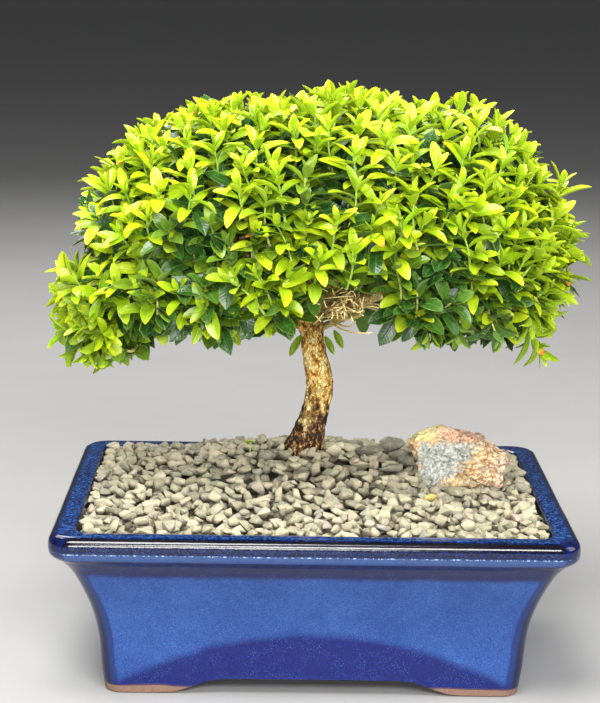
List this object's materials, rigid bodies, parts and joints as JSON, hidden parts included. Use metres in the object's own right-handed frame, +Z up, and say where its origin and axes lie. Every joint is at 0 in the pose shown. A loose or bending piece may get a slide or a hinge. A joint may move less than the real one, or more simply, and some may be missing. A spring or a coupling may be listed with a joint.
{
  "type": "littleleaf boxwood bonsai",
  "caption": "Littleleaf boxwood bonsai with a wide domed crown on a curved trunk, in a glazed rectangular footed pot topped with gravel and an accent rock.",
  "frame": {"origin": "centre of the bounding box's underside: under the middle of the pot, on the plane that its feet stand on", "axes": "+Z up along the tree; +X to the right and +Y to the back, seen from the tree's front, which is a long side of the pot"},
  "size_m": [0.2764, 0.203, 0.2932],
  "materials": {
    "cobalt_glaze": "gloss",
    "screen": "matte",
    "soil": "matte",
    "gravel": "matte",
    "accent_rock": "matte",
    "bark": "matte",
    "old_leaf": "satin",
    "new_leaf": "satin"
  },
  "bodies": {
    "root": {"accent_rock": "accent_rock", "drain_screen_left": "screen", "drain_screen_right": "screen", "gravel": "gravel", "inner_foliage": "old_leaf", "pot": "cobalt_glaze", "shoot_01": "new_leaf", "shoot_02": "new_leaf", "shoot_03": "new_leaf", "shoot_04": "new_leaf", "shoot_05": "new_leaf", "shoot_06": "new_leaf", "shoot_07": "new_leaf", "shoot_08": "new_leaf", "shoot_09": "new_leaf", "shoot_10": "new_leaf", "shoot_11": "new_leaf", "shoot_12": "new_leaf", "shoot_13": "new_leaf", "shoot_14": "new_leaf", "shoot_15": "new_leaf", "shoot_16": "new_leaf", "shoot_17": "new_leaf", "shoot_18": "new_leaf", "shoot_19": "new_leaf", "shoot_20": "new_leaf", "shoot_21": "new_leaf", "shoot_22": "new_leaf", "shoot_23": "new_leaf", "shoot_24": "new_leaf", "shoot_25": "new_leaf", "shoot_26": "new_leaf", "shoot_27": "new_leaf", "shoot_28": "new_leaf", "shoot_29": "new_leaf", "shoot_30": "new_leaf", "shoot_31": "new_leaf", "shoot_32": "new_leaf", "shoot_33": "new_leaf", "shoot_34": "new_leaf", "shoot_35": "new_leaf", "shoot_36": "new_leaf", "shoot_37": "new_leaf", "shoot_38": "new_leaf", "shoot_39": "new_leaf", "shoot_40": "new_leaf", "shoot_41": "new_leaf", "shoot_42": "new_leaf", "shoot_43": "new_leaf", "shoot_44": "new_leaf", "shoot_45": "new_leaf", "shoot_46": "new_leaf", "shoot_47": "new_leaf", "shoot_48": "new_leaf", "shoot_49": "new_leaf", "shoot_50": "new_leaf", "shoot_51": "new_leaf", "shoot_52": "new_leaf", "soil": "soil", "trunk": "bark"}
  },
  "joints": []
}
